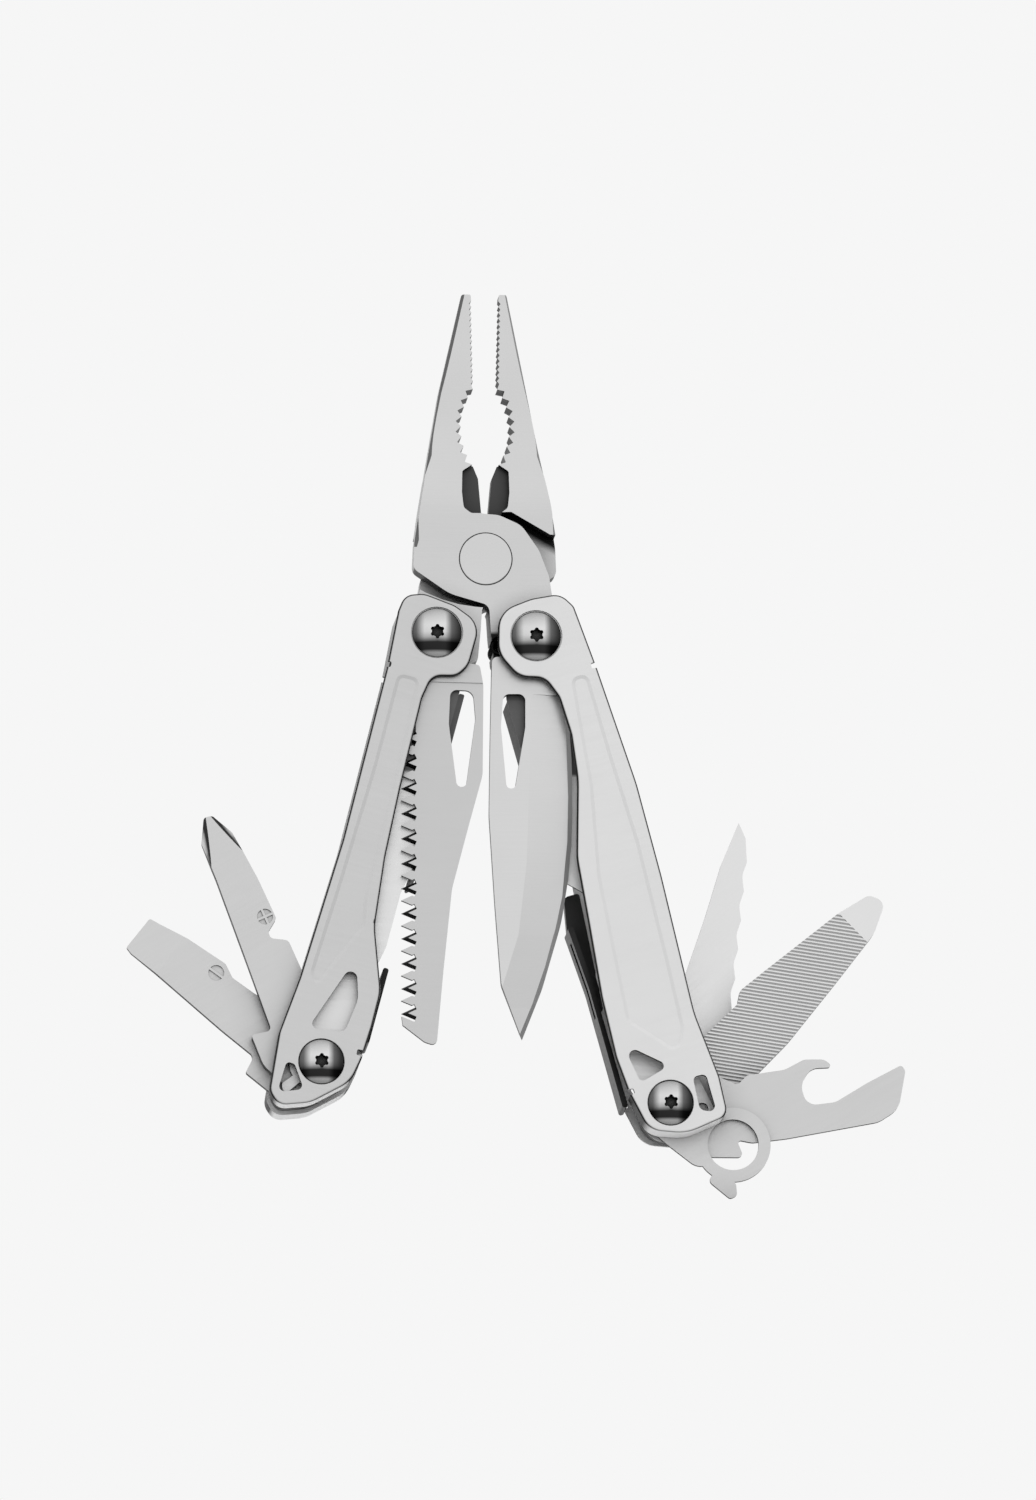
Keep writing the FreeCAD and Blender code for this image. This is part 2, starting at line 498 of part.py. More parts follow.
def spacers():
    """Washers that fill each pivot between the moving pieces."""
    gap = 0.05
    head = (HEAD_MIDDLE - HEAD_HALF, HEAD_MIDDLE + HEAD_HALF)
    left_upper = [(LEFT_LINER[1], head[0] - gap), (head[1] + gap, BACK_PLATE[0])]
    right_upper = [(FRONT_PLATE[1], KNIFE_LAYER[0] - gap), (RIGHT_LINER[1], head[0] - gap),
                   (head[1] + gap, BACK_PLATE[0])]
    left_lower = [(FRONT_PLATE[1], LEFT_LINER[0]), (PHILLIPS_LAYER[1] + gap, MEDIUM_LAYER[0] - gap),
                  (MEDIUM_LAYER[1] + gap, SMALL_LAYER[0] - gap), (SMALL_LAYER[1] + gap, BACK_PLATE[0])]
    right_lower = [(FRONT_PLATE[1], RIGHT_LINER[0]), (OPENER_LAYER[1] + gap, FILE_LAYER[0] - gap),
                   (FILE_LAYER[1] + gap, SERRATED_LAYER[0] - gap)]
    for name, centre, radius, layers in (("left_upper_washers", LEFT_UPPER, UPPER_RING, left_upper),
                                         ("right_upper_washers", RIGHT_UPPER, UPPER_RING, right_upper),
                                         ("left_lower_washers", LEFT_LOWER, LOWER_WASHER, left_lower),
                                         ("right_lower_washers", RIGHT_LOWER, LOWER_WASHER, right_lower)):
        save(name, *[washer(centre, radius, AXLE_RADIUS, layer) for layer in layers])


# ---- outside blades ----
SAW_TEETH = 23
SAW_PITCH = 2.23
SAW_FIRST = 17.5                    # root of the first gullet, along the blade


def saw_gullet(i):
    """Root of gullet i and the tooth tip below it, counted from the handle end."""
    along = SAW_FIRST + i * SAW_PITCH
    lean = 0.014 * (along - SAW_FIRST)
    return (-3.4 + lean, along), (-5.9 + lean, along + 0.55 * SAW_PITCH)


def saw_points():
    points = [(-4.4, -4.4, 4.0), (4.4, -4.4, 4.0), (4.8, 5.0, 1.2), (7.7, 5.4, 0.8), (8.4, 9.0, 3),
              (8.5, 25.0, 6),
              (6.2, 34.0, 10), (3.4, 45.4, 10), (2.1, 60.0, 20), (1.1, 73.4, 1.5), (-1.0, 72.8, 2),
              (-4.9, 69.9, 0.3)]
    for i in reversed(range(SAW_TEETH)):
        root, tip = saw_gullet(i)
        points += [tip, root]
    return points + [(-3.4, 15.0, 1), (-4.2, 8.0, 4)]


def tooth_bevels(sketch):
    """Every second tooth has both of its edges ground at a slant, seen from the front."""
    width, reach = 0.6, SAW_LAYER[1] - SAW_LAYER[0]
    cutters = []
    for i in range(0, SAW_TEETH, 2):
        tip = saw_gullet(i)[1]
        for root, side in ((saw_gullet(i)[0], 1), (saw_gullet(i + 1)[0], -1)):
            span = math.dist(tip, root)
            run = ((root[0] - tip[0]) / span, (root[1] - tip[1]) / span)
            inner = (-run[1] * side, run[0] * side)
            corners = [(-0.5, -0.2), (width * (1 + 0.2 / reach), -0.2), (-0.1 * width, reach * 1.1),
                       (-0.5, reach * 1.1)]
            start = (tip[0] - 0.5 * run[0], tip[1] - 0.5 * run[1])
            loop = [vector(sketch.at(start[0] + inner[0] * d, start[1] + inner[1] * d), SAW_LAYER[0] + y)
                    for d, y in corners]
            length = vector(sketch.at(*root), 0) - vector(sketch.at(*start), 0)
            cutters.append(Part.Face(Part.makePolygon(loop + loop[:1])).extrude(length))
    return cutters


def blade_slot():
    return [(2.6, 9.9, 1.2), (6.6, 10.0, 1.6), (7.1, 15.0, 4), (5.6, 27.2, 1.0), (4.0, 27.2, 1.0),
            (2.4, 16.0, 4)]


def saw():
    sketch = blade_sketch("left", SAW_OPEN)
    blade = slab(saw_points(), SAW_LAYER, sketch)
    thinned = [(-12, 8.6), (12, 8.6), (12, 90), (-12, 90)]
    blade = blade.cut(slab(thinned, (SAW_LAYER[0] - 1, SAW_LAYER[0] + 0.2), sketch))
    blade = blade.cut(slab(blade_slot(), (SAW_LAYER[0] - 1, SAW_LAYER[1] + 1), sketch))
    for cutter in tooth_bevels(sketch):
        blade = blade.cut(cutter)
    blade = blade.cut(disc(LEFT_UPPER, AXLE_RADIUS + RUNNING, SAW_LAYER))
    save("saw_blade", blade)


def knife():
    sketch = blade_sketch("right", KNIFE_OPEN)
    points = [(-4.4, -4.4, 4.0), (3.6, -4.6, 4.0), (5.4, 3.6, 1.5), (7.5, 3.6, 1.0), (7.3, 18.0, 20),
              (7.0, 32.0, 20),
              (5.4, 48.0, 20), (3.8, 62.0, 3), (-0.2, 71.6), (-3.4, 62.5, 20), (-6.4, 50.5, 30),
              (-7.9, 38.0, 30), (-7.3, 22.0, 20), (-6.4, 13.5, 3), (-4.0, 7.5, 4)]
    blade = slab(points, KNIFE_LAYER, sketch)
    slot = [(1.4, 10.0, 1.2), (5.3, 10.2, 1.2), (5.5, 16.0, 4), (4.1, 27.0, 0.9), (2.6, 27.0, 0.9),
            (1.2, 16.0, 4)]
    blade = blade.cut(slab(slot, (KNIFE_LAYER[0] - 1, KNIFE_LAYER[1] + 1), sketch))
    for side in (0, 1):
        blade = blade.cut(knife_grind(sketch, KNIFE_LAYER[side], 1 - 2 * side))
        blade = blade.cut(edge_bevel(sketch, KNIFE_LAYER[side], 1 - 2 * side))
    blade = blade.cut(disc(RIGHT_UPPER, AXLE_RADIUS + RUNNING, KNIFE_LAYER))
    save("knife_blade", blade)


def knife_grind(sketch, y, inward):
    """Long wedge off one flat of the knife, from the grind line to the cutting edge."""
    depth = 0.8
    stations = [(0.2, 10.0, -9.0), (0.1, 40.0, -9.0), (1.1, 53.0, -8.2), (4.6, 66.0, -6.0)]
    wires = []
    for top, along, edge in stations:
        corners = [(top, 0.0), (edge, depth), (edge, -0.5), (top, -0.5)]
        loop = [vector(sketch.at(a, along), y + inward * d) for a, d in corners]
        wires.append(Part.makePolygon(loop + loop[:1]))
    wedge = Part.makeLoft(wires, True, True)
    tail = Part.makeLoft([wires[-1], shifted(wires[-1], sketch, 10)], True, True)
    return wedge.fuse(tail)


def edge_bevel(sketch, y, inward):
    """Narrow final bevel that brings the ground side down to the cutting edge."""
    edge = [(-6.5, 12.0), (-6.9, 17.3), (-7.5, 28.0), (-7.6, 36.0), (-7.1, 45.6), (-6.2, 51.5),
            (-4.6, 58.6),
            (-2.7, 65.1), (-0.1, 72.2)]
    wires = []
    for across, along in edge:
        corners = [(across + 0.9, 0.5), (across - 0.4, 1.15), (across - 0.4, -0.5), (across + 0.9, -0.5)]
        loop = [vector(sketch.at(a, along), y + inward * d) for a, d in corners]
        wires.append(Part.makePolygon(loop + loop[:1]))
    return Part.makeLoft(wires, True, True)


def shifted(wire, sketch, distance):
    moved = wire.copy()
    moved.translate(FreeCAD.Vector(sketch.along[0] * distance, 0, sketch.along[1] * distance))
    return moved


# ---- small tools ----
def small_tool(name, side, opened, points, layer, cutters=()):
    sketch = tool_sketch(side, opened)
    pivot = LEFT_LOWER if side == "left" else RIGHT_LOWER
    tool = slab(points, layer, sketch)
    for cutter in cutters:
        tool = tool.cut(cutter)
    tool = tool.cut(disc(pivot, AXLE_RADIUS + RUNNING, (layer[0] - 1, layer[1] + 1)))
    save(name, tool)


def marked_disc(centre, sketch, radius, y, bars):
    """Shallow round mark whose bars stay at the surface: one bar for a flat driver, two for a cross."""
    depth, bar = 0.4, 0.2
    mark = disc(sketch.at(*centre), radius, (y - 1, y + depth))
    turned = [[(-bar, -2), (bar, -2), (bar, 2), (-bar, 2)], [(-2, -bar), (2, -bar), (2, bar), (-2, bar)]]
    for corners in turned[:bars]:
        strip = [(centre[0] + a, centre[1] + d) for a, d in corners]
        mark = mark.cut(slab(strip, (y - 1, y + depth), sketch))
    return mark


def phillips_driver():
    points = [(-5.6, -4.6, 4), (4.8, -4.8, 4), (4.9, 4.0, 4), (4.1, 16.5, 3), (4.2, 22.4, 1.2),
              (1.5, 24.0, 0.8),
              (1.6, 25.2, 0.6), (3.9, 26.8, 0.8), (3.9, 34.6, 8), (3.3, 44.0, 1), (1.4, 48.0, 0.4),
              (-0.2, 48.3, 0.4),
              (-2.5, 44.2, 1), (-2.8, 37.4, 8), (-4.1, 21.6, 20), (-5.2, 9.0, 0.8), (-8.8, 9.8, 0.5),
              (-9.1, 4.0, 4)]
    sketch = tool_sketch("left", PHILLIPS_OPEN)
    middle = (PHILLIPS_LAYER[0] + PHILLIPS_LAYER[1]) / 2
    cutters = driver_flutes(sketch, 0.5, 48.3, middle)
    cutters.append(marked_disc((2.2, 27.9), sketch, 1.4, PHILLIPS_LAYER[0], 2))
    small_tool("phillips_driver", "left", PHILLIPS_OPEN, points, PHILLIPS_LAYER, cutters)


def driver_flutes(sketch, across, tip, middle):
    """Hollows that leave the four wings of the cross point."""
    cutters = []
    for side in (-1, 1):
        for layer in (-1, 1):
            start = sketch.at(across + side * 1.7, tip + 1)
            end = sketch.at(across + side * 4.5, tip - 10)
            base = vector(start, middle + layer * 1.6)
            reach = vector(end, middle + layer * 2.5) - base
            cutters.append(Part.makeCone(1.6, 1.45, reach.Length, base, reach))
    return cutters


def wedge_tip(sketch, tip, length, layer, thickness):
    """Takes both flats down to a thin end over the last 'length' of a tool."""
    middle = (layer[0] + layer[1]) / 2
    cutters = []
    for side in (-1, 1):
        face = layer[0] if side < 0 else layer[1]
        end_face = middle + side * thickness / 2
        corners = [(tip - length, face), (tip + 1, end_face), (tip + 1, face + side),
                   (tip - length, face + side)]
        loop = [vector(sketch.at(-15, along), y) for along, y in corners]
        wire = Part.makePolygon(loop + loop[:1])
        cutters.append(Part.Face(wire).extrude(vector(sketch.across, 0) * 30))
    return cutters


def flat_drivers():
    medium = [(-4.8, -4.6, 4), (4.6, -4.8, 4), (4.4, 12.0, 3), (3.9, 17.0, 3), (3.9, 21.6, 1),
              (5.2, 24.0, 1.2),
              (4.9, 32.0, 8), (4.1, 37.6, 3), (3.9, 39.5, 0.4), (-2.7, 39.8, 0.4), (-3.1, 38.5, 1),
              (-3.4, 33.0, 8),
              (-4.8, 17.6, 20), (-5.2, 10.4, 1), (-8.4, 9.9, 0.5), (-8.7, 4.5, 3)]
    sketch = tool_sketch("left", MEDIUM_OPEN)
    cutters = wedge_tip(sketch, 39.7, 7, MEDIUM_LAYER, 0.8)
    cutters.append(marked_disc((2.9, 24.4), sketch, 1.4, MEDIUM_LAYER[0], 1))
    small_tool("flat_driver", "left", MEDIUM_OPEN, medium, MEDIUM_LAYER, cutters)
    small = [(-4.8, -4.6, 4), (4.6, -4.8, 4), (4.4, 5.0, 3), (2.7, 9.6, 2), (2.4, 26.0, 0.3),
             (0.2, 26.0, 0.3),
             (-0.9, 12.0, 2), (-4.6, 8.0, 2)]
    sketch = tool_sketch("left", SMALL_OPEN)
    cutters = wedge_tip(sketch, 26, 6, SMALL_LAYER, 0.5)
    small_tool("small_driver", "left", SMALL_OPEN, small, SMALL_LAYER, cutters)


def lanyard_ring():
    """Loop with a hooked nub, on a short stem."""
    sketch = tool_sketch("right", RING_OPEN)
    middle = (1.5, 13.05)
    stem = [(-4.8, -4.4, 4), (4.4, -4.6, 4), (4.6, 3.0, 3), (5.6, 12.0, 3), (-5.6, 12.0, 3), (-5.4, 4.0, 4)]
    nub = [(-2.4, 14.6), (-4.0, 17.7, 0.6), (-5.4, 18.9, 0.7), (-6.6, 18.3, 0.7), (-6.3, 12.7, 1)]
    ring = slab(stem, RING_LAYER, sketch).fuse(disc(sketch.at(*middle), 6.6, RING_LAYER))
    ring = ring.fuse(slab(nub, RING_LAYER, sketch))
    ring = ring.cut(disc(sketch.at(*middle), 4.5, RING_LAYER))
    save("lanyard_ring", ring.cut(disc(RIGHT_LOWER, AXLE_RADIUS + RUNNING, RING_LAYER)))


def bottle_opener():
    points = [(-4.6, -4.6, 4), (4.6, -4.8, 4), (5.5, 8.0, 3), (2.7, 12.8, 1), (4.2, 14.6, 1),
              (4.4, 21.4, 4),
              (5.8, 25.0, 2), (5.4, 28.6, 2), (3.8, 30.0, 0.4), (4.1, 26.0, 2.4), (1.4, 23.8, 3),
              (-2.4, 24.4, 2.4),
              (-2.4, 29.5, 4), (0.4, 35.7, 20), (2.8, 42.0, 0.6), (1.6, 42.5, 1), (-5.0, 40.4, 4),
              (-6.8, 36.6, 4),
              (-7.8, 20.0, 20), (-7.8, 14.0, 3), (-6.9, 11.3, 0.5), (-10.2, 12.2, 0.7), (-9.4, 6.0, 3)]
    small_tool("bottle_opener", "right", OPENER_OPEN, points, OPENER_LAYER)


def wood_file():
    points = [(-5.0, -4.6, 4), (4.8, -4.8, 4), (5.0, 22.4, 1.5), (6.4, 24.4, 1.5), (5.9, 30.0, 10),
              (4.3, 46.4, 1.5),
              (2.9, 52.8, 1.6), (0.0, 54.1, 1.6), (-2.7, 48.6, 6), (-4.4, 37.0, 20), (-6.1, 24.0, 20),
              (-6.6, 8.0, 8)]
    sketch = tool_sketch("right", FILE_OPEN)
    pitch, depth, lean = 0.79, 0.1, -0.76
    toothed = slab([(-9, 3.0), (9, 3.0), (9, 46.7), (-9, 46.7)], (FILE_LAYER[0] - 1, FILE_LAYER[0] + 1),
                    sketch)
    grooves = [file_groove(sketch, -2.0 + i * pitch, lean, depth, pitch) for i in range(70)]
    cutters = [groove.common(toothed) for groove in grooves]
    small_tool("wood_file", "right", FILE_OPEN, points, FILE_LAYER, [c for c in cutters if c.Volume > 0])


def file_groove(sketch, along, lean, depth, pitch):
    """One slanted V groove across the front flat."""
    y = FILE_LAYER[0]
    corners = [(-0.34 * pitch, y - 0.01), (0.0, y + depth), (0.34 * pitch, y - 0.01)]
    loop = [vector(sketch.at(-9, along + shift - 9 * lean), height) for shift, height in corners]
    wire = Part.makePolygon(loop + loop[:1])
    end = sketch.at(9, along + 9 * lean)
    start = sketch.at(-9, along - 9 * lean)
    return Part.Face(wire).extrude(vector(end, 0) - vector(start, 0))


def serrated_blade():
    scallops, first, last = 5, 21.5, 47.5
    pitch = (last - first) / scallops
    edge = []
    for i in range(scallops):
        along = last - i * pitch
        across = -3.7 - (last - along) * 0.135
        edge.append((across, along))
        edge.append((across + 0.25, along - pitch * 0.5, 3.0))
    points = [(-4.8, -4.6, 4), (4.6, -4.8, 4), (3.3, 14.0, 8), (2.1, 26.6, 8), (1.2, 36.0, 10),
              (0.6, 46.0, 8),
              (0.1, 49.0, 3), (-0.7, 54.0), (-2.5, 51.6)] + edge + [(-7.4, 20.5, 1), (-5.6, 14.0, 4)]
    small_tool("serrated_blade", "right", SERRATED_OPEN, points, SERRATED_LAYER)


os.makedirs("parts", exist_ok=True)
plier_head()
left_handle()
right_handle()
pocket_clip()
spacers()
saw()
knife()
phillips_driver()
flat_drivers()
lanyard_ring()
bottle_opener()
wood_file()
serrated_blade()
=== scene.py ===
"""Finishes, studio and camera for the folding multi tool. The shapes are the CAD nodes' own."""
import math

import bpy
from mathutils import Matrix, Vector


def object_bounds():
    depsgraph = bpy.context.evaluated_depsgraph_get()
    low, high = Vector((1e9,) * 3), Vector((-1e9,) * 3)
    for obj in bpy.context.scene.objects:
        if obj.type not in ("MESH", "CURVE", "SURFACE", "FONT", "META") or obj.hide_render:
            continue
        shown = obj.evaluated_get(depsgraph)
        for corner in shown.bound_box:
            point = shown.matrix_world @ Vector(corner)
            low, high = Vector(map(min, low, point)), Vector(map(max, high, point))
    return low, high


# ---- places on the tool, metres ----
RIM_TOP = -0.0945                      # the handles' turned-in lower rims lie below this height
LINER_SHADE_BOTTOM = -0.0388           # the liners lie in the shade of the pivots above this height
KNIFE_BAND = (-0.095, -0.040)          # the knife's ground band, from near the tip to near the slot
JAW_OUTER_X = -0.003                   # the left jaw's outer side lies left of this
SPRING_PART_TOP = -0.0131              # the coil sits beside the inner arm below this height, where the arm gets painted shade
LAP_POINT = (0.0114, 0.0045)           # X and Z of a point on the step of the lap joint
LAP_DIRECTION = (-0.501, -0.865)       # X and Z of the direction away from the step, over the lower face
LAP_SHADE_WIDTH = (0.0007, 0.0020)     # painted shadow, black up to the first distance from the step, clear from the second
LAP_FACE_Y = 0.0045                    # the lower face of the lap lies behind this
LAP_LEFT_X = 0.001                     # the shade of the step stays right of this
POCKET_HALF_WIDTH = 0.0044             # the hollows beside the wire cutter
POCKET_DEPTH = (0.0018, 0.0076)
POCKET_HEIGHT = (0.0079, 0.0175)

# ---- how much of the light stays in painted shade ----
LINER_SHADE = 0.16
SPRING_SHADE = 0.04
LAP_SHADE = 0.03
POCKET_SHADE = 0.12

# ---- grain of the steel ----
GRAIN_STRETCH = (0.03, 0.6, 1.0)       # drawn out along X
CLOUD_SCALE = 90.0
CLOUD_STRENGTH = 0.05
PIT_SCALE = 6000.0
BUMP_DISTANCE = 0.00002
STRONGEST_GRAIN_BUMP = 0.10
ROUGHNESS_SPREAD = 0.25

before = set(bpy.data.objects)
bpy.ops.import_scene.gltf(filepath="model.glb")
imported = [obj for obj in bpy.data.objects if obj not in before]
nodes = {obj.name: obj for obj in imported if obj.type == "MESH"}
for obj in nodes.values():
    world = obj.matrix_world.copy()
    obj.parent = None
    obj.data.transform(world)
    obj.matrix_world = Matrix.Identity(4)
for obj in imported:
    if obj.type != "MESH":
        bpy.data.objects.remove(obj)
cad_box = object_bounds()


# ---- node helpers ----
def new_material(name):
    mat = bpy.data.materials.new(name)
    mat.use_nodes = True
    tree = mat.node_tree
    tree.nodes.clear()
    out = tree.nodes.new("ShaderNodeOutputMaterial")
    bsdf = tree.nodes.new("ShaderNodeBsdfPrincipled")
    tree.links.new(bsdf.outputs[0], out.inputs[0])
    return mat, tree, bsdf


def add(tree, kind, inputs=None, **props):
    """Adds a node; each input is another node's output to link, or a plain value."""
    node = tree.nodes.new(kind)
    for key, value in props.items():
        setattr(node, key, value)
    for key, value in (inputs or {}).items():
        if isinstance(value, bpy.types.NodeSocket):
            tree.links.new(value, node.inputs[key])
        else:
            node.inputs[key].default_value = value
    return node


def math_node(tree, operation, a, b=0.0, c=0.0):
    return add(tree, "ShaderNodeMath", {0: a, 1: b, 2: c}, operation=operation).outputs[0]


def map_range(tree, value, low, high, at_low, at_high):
    """'at_low' up to low and 'at_high' from high on, with a straight slope between."""
    return add(tree, "ShaderNodeMapRange", {0: value, 1: low, 2: high, 3: at_low, 4: at_high}).outputs[0]


def ramp(tree, value, stops):
    """Grey level by value, with a straight slope between the stops."""
    node = add(tree, "ShaderNodeValToRGB", {0: value})
    elements = node.color_ramp.elements
    while len(elements) > len(stops):
        elements.remove(elements[-1])
    while len(elements) < len(stops):
        elements.new(0.5)
    for element, (at, level) in zip(elements, stops):
        element.position = at
        element.color = (level, level, level, 1)
    return node.outputs[0]


def mix_colour(tree, factor, a, b):
    """a where the factor is 0, b where it is 1."""
    return add(tree, "ShaderNodeMix", {0: factor, 6: a, 7: b}, data_type="RGBA").outputs[2]


def dimmed(tree, colour, factor):
    """Scales a colour by a number from 0 to 1."""
    return mix_colour(tree, factor, (0, 0, 0, 1), colour)


def grey(level):
    return (level, level, level, 1)


def noise(tree, place, scale, **inputs):
    """Noise from 0 to 1."""
    named = {key.title(): value for key, value in inputs.items()}
    return add(tree, "ShaderNodeTexNoise", {0: place, "Scale": scale, **named}).outputs[0]


# ---- painted shade and painted reflection: each takes the place on the tool and the surface's direction ----
def spring_shade(tree, place, normal):
    """Painted shade on the inner arm below the head, where the spring sits."""
    left = math_node(tree, "LESS_THAN", place.outputs[0], 0.0)
    right = soft_step(tree, place.outputs[2], SPRING_PART_TOP, SPRING_SHADE, 1.0)
    return math_node(tree, "MAXIMUM", left, right)


def lap_shade(tree, place, normal):
    """Painted shadow along the step of the lap joint, on its lower face only."""
    across = math_node(tree, "SUBTRACT", place.outputs[0], LAP_POINT[0])
    across = math_node(tree, "MULTIPLY", across, LAP_DIRECTION[0])
    down = math_node(tree, "SUBTRACT", place.outputs[2], LAP_POINT[1])
    down = math_node(tree, "MULTIPLY", down, LAP_DIRECTION[1])
    lit = map_range(tree, math_node(tree, "ADD", across, down), *LAP_SHADE_WIDTH, LAP_SHADE, 1.0)
    upper_face = math_node(tree, "LESS_THAN", place.outputs[1], LAP_FACE_Y)
    elsewhere = math_node(tree, "LESS_THAN", place.outputs[0], LAP_LEFT_X)
    return math_node(tree, "MAXIMUM", lit, math_node(tree, "MAXIMUM", upper_face, elsewhere))


def pocket_shade(tree, place, normal):
    """Painted shade inside the hollows beside the wire cutter."""
    sideways = math_node(tree, "ABSOLUTE", place.outputs[0])
    outside = math_node(tree, "GREATER_THAN", sideways, POCKET_HALF_WIDTH)
    for axis, (low, high) in ((1, POCKET_DEPTH), (2, POCKET_HEIGHT)):
        before = math_node(tree, "LESS_THAN", place.outputs[axis], low)
        after = math_node(tree, "GREATER_THAN", place.outputs[axis], high)
        outside = math_node(tree, "MAXIMUM", outside, math_node(tree, "MAXIMUM", before, after))
    return math_node(tree, "MAXIMUM", outside, POCKET_SHADE)


def dome_shade(tree, place, normal):
    """Painted reflection: dark crescents low on a polished dome and at its sides, as a dark studio would be
    mirrored in it.
    """
    upward, sideways = (math_node(tree, "MULTIPLY_ADD", normal.outputs[axis], 0.5, 0.5) for axis in (2, 0))
    low = ramp(tree, upward, [(0.24, 0.8), (0.28, 0.05), (0.37, 0.05), (0.43, 0.75), (0.50, 1.0)])
    sides = ramp(tree, sideways, [(0.24, 0.3), (0.34, 1.0), (0.60, 1.0), (0.68, 0.25), (0.78, 0.1)])
    return math_node(tree, "MULTIPLY", low, sides)


def liner_shade(tree, place, normal):
    """Painted shade on the upper part of a liner."""
    return soft_step(tree, place.outputs[2], LINER_SHADE_BOTTOM, 1.0, LINER_SHADE)


def soft_step(tree, value, limit, low, high):
    """'low' below the limit and 'high' above it, with a narrow soft step."""
    return map_range(tree, value, limit - 0.0004, limit + 0.0002, low, high)


# ---- cut edges: painted shade, and the sides where it is lifted ----
def bright_side(tree, normal):
    """Painted light: 1 on square cut sides that face up or to the right, where the studio light falls, so
    they keep the face's colour; 0 elsewhere.
    """
    facing = math_node(tree, "ADD", math_node(tree, "MULTIPLY", normal.outputs[0], 0.35), normal.outputs[2])
    lit = ramp(tree, facing, [(0.06, 0.0), (0.25, 1.0)])
    square = ramp(tree, math_node(tree, "ABSOLUTE", normal.outputs[1]), [(0.25, 1.0), (0.45, 0.0)])
    return math_node(tree, "MULTIPLY", lit, square)


def lower_rim(tree, place, normal):
    """1 on the rim that faces down at the foot of a handle."""
    downward = math_node(tree, "MULTIPLY", normal.outputs[2], -1.0)
    low = math_node(tree, "LESS_THAN", place.outputs[2], RIM_TOP)
    return math_node(tree, "MULTIPLY", ramp(tree, downward, [(0.55, 0.0), (0.85, 1.0)]), low)


def jaw_outer_side(tree, place, normal):
    """1 on the outer side of the left jaw, where a lighter painted reflection replaces the edge shade."""
    leftward = math_node(tree, "MULTIPLY", normal.outputs[0], -1.0)
    left = math_node(tree, "LESS_THAN", place.outputs[0], JAW_OUTER_X)
    return math_node(tree, "MULTIPLY", ramp(tree, leftward, [(0.85, 0.0), (0.95, 1.0)]), left)


# ---- steel ----
def steel(name, level, rough, grain_turn=0.0, grain=0.12, grain_scale=2500.0, edge_level=0.04, pits=0.0,
          recess=1.3, reach=0.006, edge_part=None, shades=(), ground_level=None):
    """Steel with a ground grain, faint clouds, painted shade on the cut edges and painted shade in recesses.

    edge_level is the grey of the painted edge shade; None leaves the edges as bright as the faces. edge_part
    is a part of the edges with a level of its own, given as a pair. recess is how strongly the painted shade
    darkens recesses, and reach how wide a gap counts as one.
    ground_level is the shade of a ground band at its low and its high end.
    """
    mat, tree, bsdf = new_material(name)
    coord = add(tree, "ShaderNodeTexCoord").outputs["Object"]
    turned = add(tree, "ShaderNodeMapping", {0: coord, "Rotation": (0, grain_turn, 0)}).outputs[0]
    stretched = add(tree, "ShaderNodeMapping", {0: turned, "Scale": GRAIN_STRETCH}).outputs[0]
    lines = noise(tree, stretched, grain_scale, detail=3.0, roughness=0.65)
    centred = math_node(tree, "SUBTRACT", lines, 0.5)
    normal = add(tree, "ShaderNodeSeparateXYZ", {0: add(tree, "ShaderNodeNewGeometry").outputs["Normal"]})
    place = add(tree, "ShaderNodeSeparateXYZ", {0: coord})

    grained = math_node(tree, "MULTIPLY_ADD", centred, grain * level, level)
    cloud = math_node(tree, "SUBTRACT", noise(tree, coord, CLOUD_SCALE, detail=2.0), 0.5)
    clouded = math_node(tree, "ADD", grained, math_node(tree, "MULTIPLY", cloud, CLOUD_STRENGTH * level))
    face = add(tree, "ShaderNodeCombineColor", {0: clouded, 1: clouded, 2: clouded}).outputs[0]
    if ground_level is not None:
        facing = math_node(tree, "ABSOLUTE", normal.outputs[1])
        level_part = ramp(tree, facing, [(0.9975, 0.0), (0.9990, 1.0)])
        band = map_range(tree, place.outputs[2], *KNIFE_BAND, *ground_level)
        face = mix_colour(tree, level_part, dimmed(tree, face, band), face)

    if edge_level is None:
        flat = math_node(tree, "ADD", 1.0, 0.0)
        colour = face
    else:
        # painted shade: cut edges get the dark edge_level and no metal, except the sides that face the light
        flat = ramp(tree, math_node(tree, "ABSOLUTE", normal.outputs[1]), [(0.80, 0.0), (0.96, 1.0)])
        flat = math_node(tree, "MAXIMUM", flat, bright_side(tree, normal))
        edge = grey(edge_level)
        if edge_part is not None:
            part, part_level = edge_part
            edge = mix_colour(tree, part(tree, place, normal), edge, grey(part_level))
        colour = mix_colour(tree, flat, edge, face)

    # painted shade: recesses and narrow gaps darkened through ambient occlusion, then by the painted shades
    # listed
    occlusion = add(tree, "ShaderNodeAmbientOcclusion", {"Distance": reach}, samples=8)
    open_part = math_node(tree, "POWER", occlusion.outputs["AO"], recess)
    for shade in shades:
        open_part = math_node(tree, "MULTIPLY", open_part, shade(tree, place, normal))
    tree.links.new(dimmed(tree, colour, open_part), bsdf.inputs["Base Color"])

    spread = math_node(tree, "MULTIPLY_ADD", centred, ROUGHNESS_SPREAD, rough)
    tree.links.new(spread, bsdf.inputs["Roughness"])
    bump = add(tree, "ShaderNodeBump", {"Height": lines, "Strength": min(STRONGEST_GRAIN_BUMP, grain),
                                        "Distance": BUMP_DISTANCE})
    if pits:
        pit = noise(tree, coord, PIT_SCALE, detail=1.0)
        bump = add(tree, "ShaderNodeBump", {"Height": pit, "Strength": pits, "Distance": BUMP_DISTANCE,
                                            "Normal": bump.outputs[0]})
    tree.links.new(bump.outputs[0], bsdf.inputs["Normal"])
    tree.links.new(flat, bsdf.inputs["Metallic"])
    bsdf.inputs["Specular IOR Level"].default_value = 0.1
    return mat


